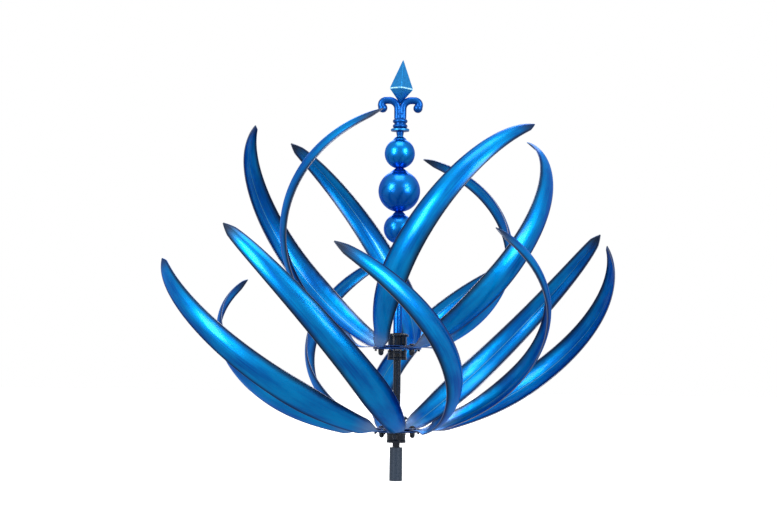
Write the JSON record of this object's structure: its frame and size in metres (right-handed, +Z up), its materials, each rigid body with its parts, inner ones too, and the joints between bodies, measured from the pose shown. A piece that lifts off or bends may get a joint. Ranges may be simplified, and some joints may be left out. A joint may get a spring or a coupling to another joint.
{
  "type": "kinetic wind sculpture",
  "caption": "Kinetic wind sculpture head: two counter-swept tiers of curved metal blades that spin freely on a vertical axle, with a ball stack and a fleur finial on top.",
  "frame": {"origin": "centre of the post's open lower end, where the pole enters", "axes": "+Z up along the fixed axle; -Y is the front, and the finial's scrolls point along X"},
  "size_m": [0.601, 0.6113, 0.5684],
  "materials": {
    "blade_blue": "translucent blue lacquer over bright metal, glossy",
    "blue_gloss": "glossy metallic blue",
    "blue_casting": "semi-gloss metallic blue on a casting",
    "hub_blue": "glossy dark blue",
    "black_metal": "glossy black",
    "post_paint": "satin slate",
    "bearing_steel": "ground"
  },
  "bodies": {
    "post": {"support_post": "post_paint", "axle": "black_metal", "lower_shaft_collar": "black_metal", "upper_shaft_collar": "black_metal", "collar_set_screws": "bearing_steel", "thrust_washers": "bearing_steel", "axle_retaining_ring": "black_metal", "stem_seat_sleeve": "black_metal", "finial_stem": "blue_gloss", "lower_ball": "blue_gloss", "large_ball": "blue_gloss", "upper_ball": "blue_gloss", "lower_ball_cap": "blue_gloss", "large_ball_cap": "blue_gloss", "upper_ball_cap": "blue_gloss", "finial_collar": "blue_casting", "finial_scrolls": "blue_casting", "finial_spear": "blue_casting", "lower_inner_rings": "bearing_steel", "lower_inner_spacer": "bearing_steel", "upper_inner_rings": "bearing_steel", "upper_inner_spacer": "bearing_steel"},
    "lower_rotor": {"lower_hub_disc": "hub_blue", "lower_clamp_ring": "hub_blue", "lower_bearing_housing": "black_metal", "lower_dust_cap": "black_metal", "lower_outer_rings": "bearing_steel", "lower_outer_spacer": "bearing_steel", "lower_bearing_balls": "bearing_steel", "lower_hub_bolts": "black_metal", "lower_dome_nuts": "black_metal", "lower_blade_rivets": "black_metal", "lower_blade_1": "blade_blue", "lower_blade_2": "blade_blue", "lower_blade_3": "blade_blue", "lower_blade_4": "blade_blue", "lower_blade_5": "blade_blue", "lower_blade_6": "blade_blue", "lower_blade_7": "blade_blue", "lower_blade_8": "blade_blue", "lower_blade_9": "blade_blue"},
    "upper_rotor": {"upper_hub_disc": "hub_blue", "upper_clamp_ring": "hub_blue", "upper_bearing_housing": "black_metal", "upper_dust_cap": "black_metal", "upper_outer_rings": "bearing_steel", "upper_outer_spacer": "bearing_steel", "upper_bearing_balls": "bearing_steel", "upper_hub_bolts": "black_metal", "upper_dome_nuts": "black_metal", "upper_blade_rivets": "black_metal", "upper_blade_1": "blade_blue", "upper_blade_2": "blade_blue", "upper_blade_3": "blade_blue", "upper_blade_4": "blade_blue", "upper_blade_5": "blade_blue", "upper_blade_6": "blade_blue"}
  },
  "joints": [
    {"name": "lower_spin", "type": "hinge", "parent": "post", "child": "lower_rotor", "pos_m": [0, 0, 0.0665], "axis": [0, 0, 1], "continuous": true},
    {"name": "upper_spin", "type": "hinge", "parent": "post", "child": "upper_rotor", "pos_m": [0, 0, 0.1775], "axis": [0, 0, 1], "continuous": true}
  ]
}
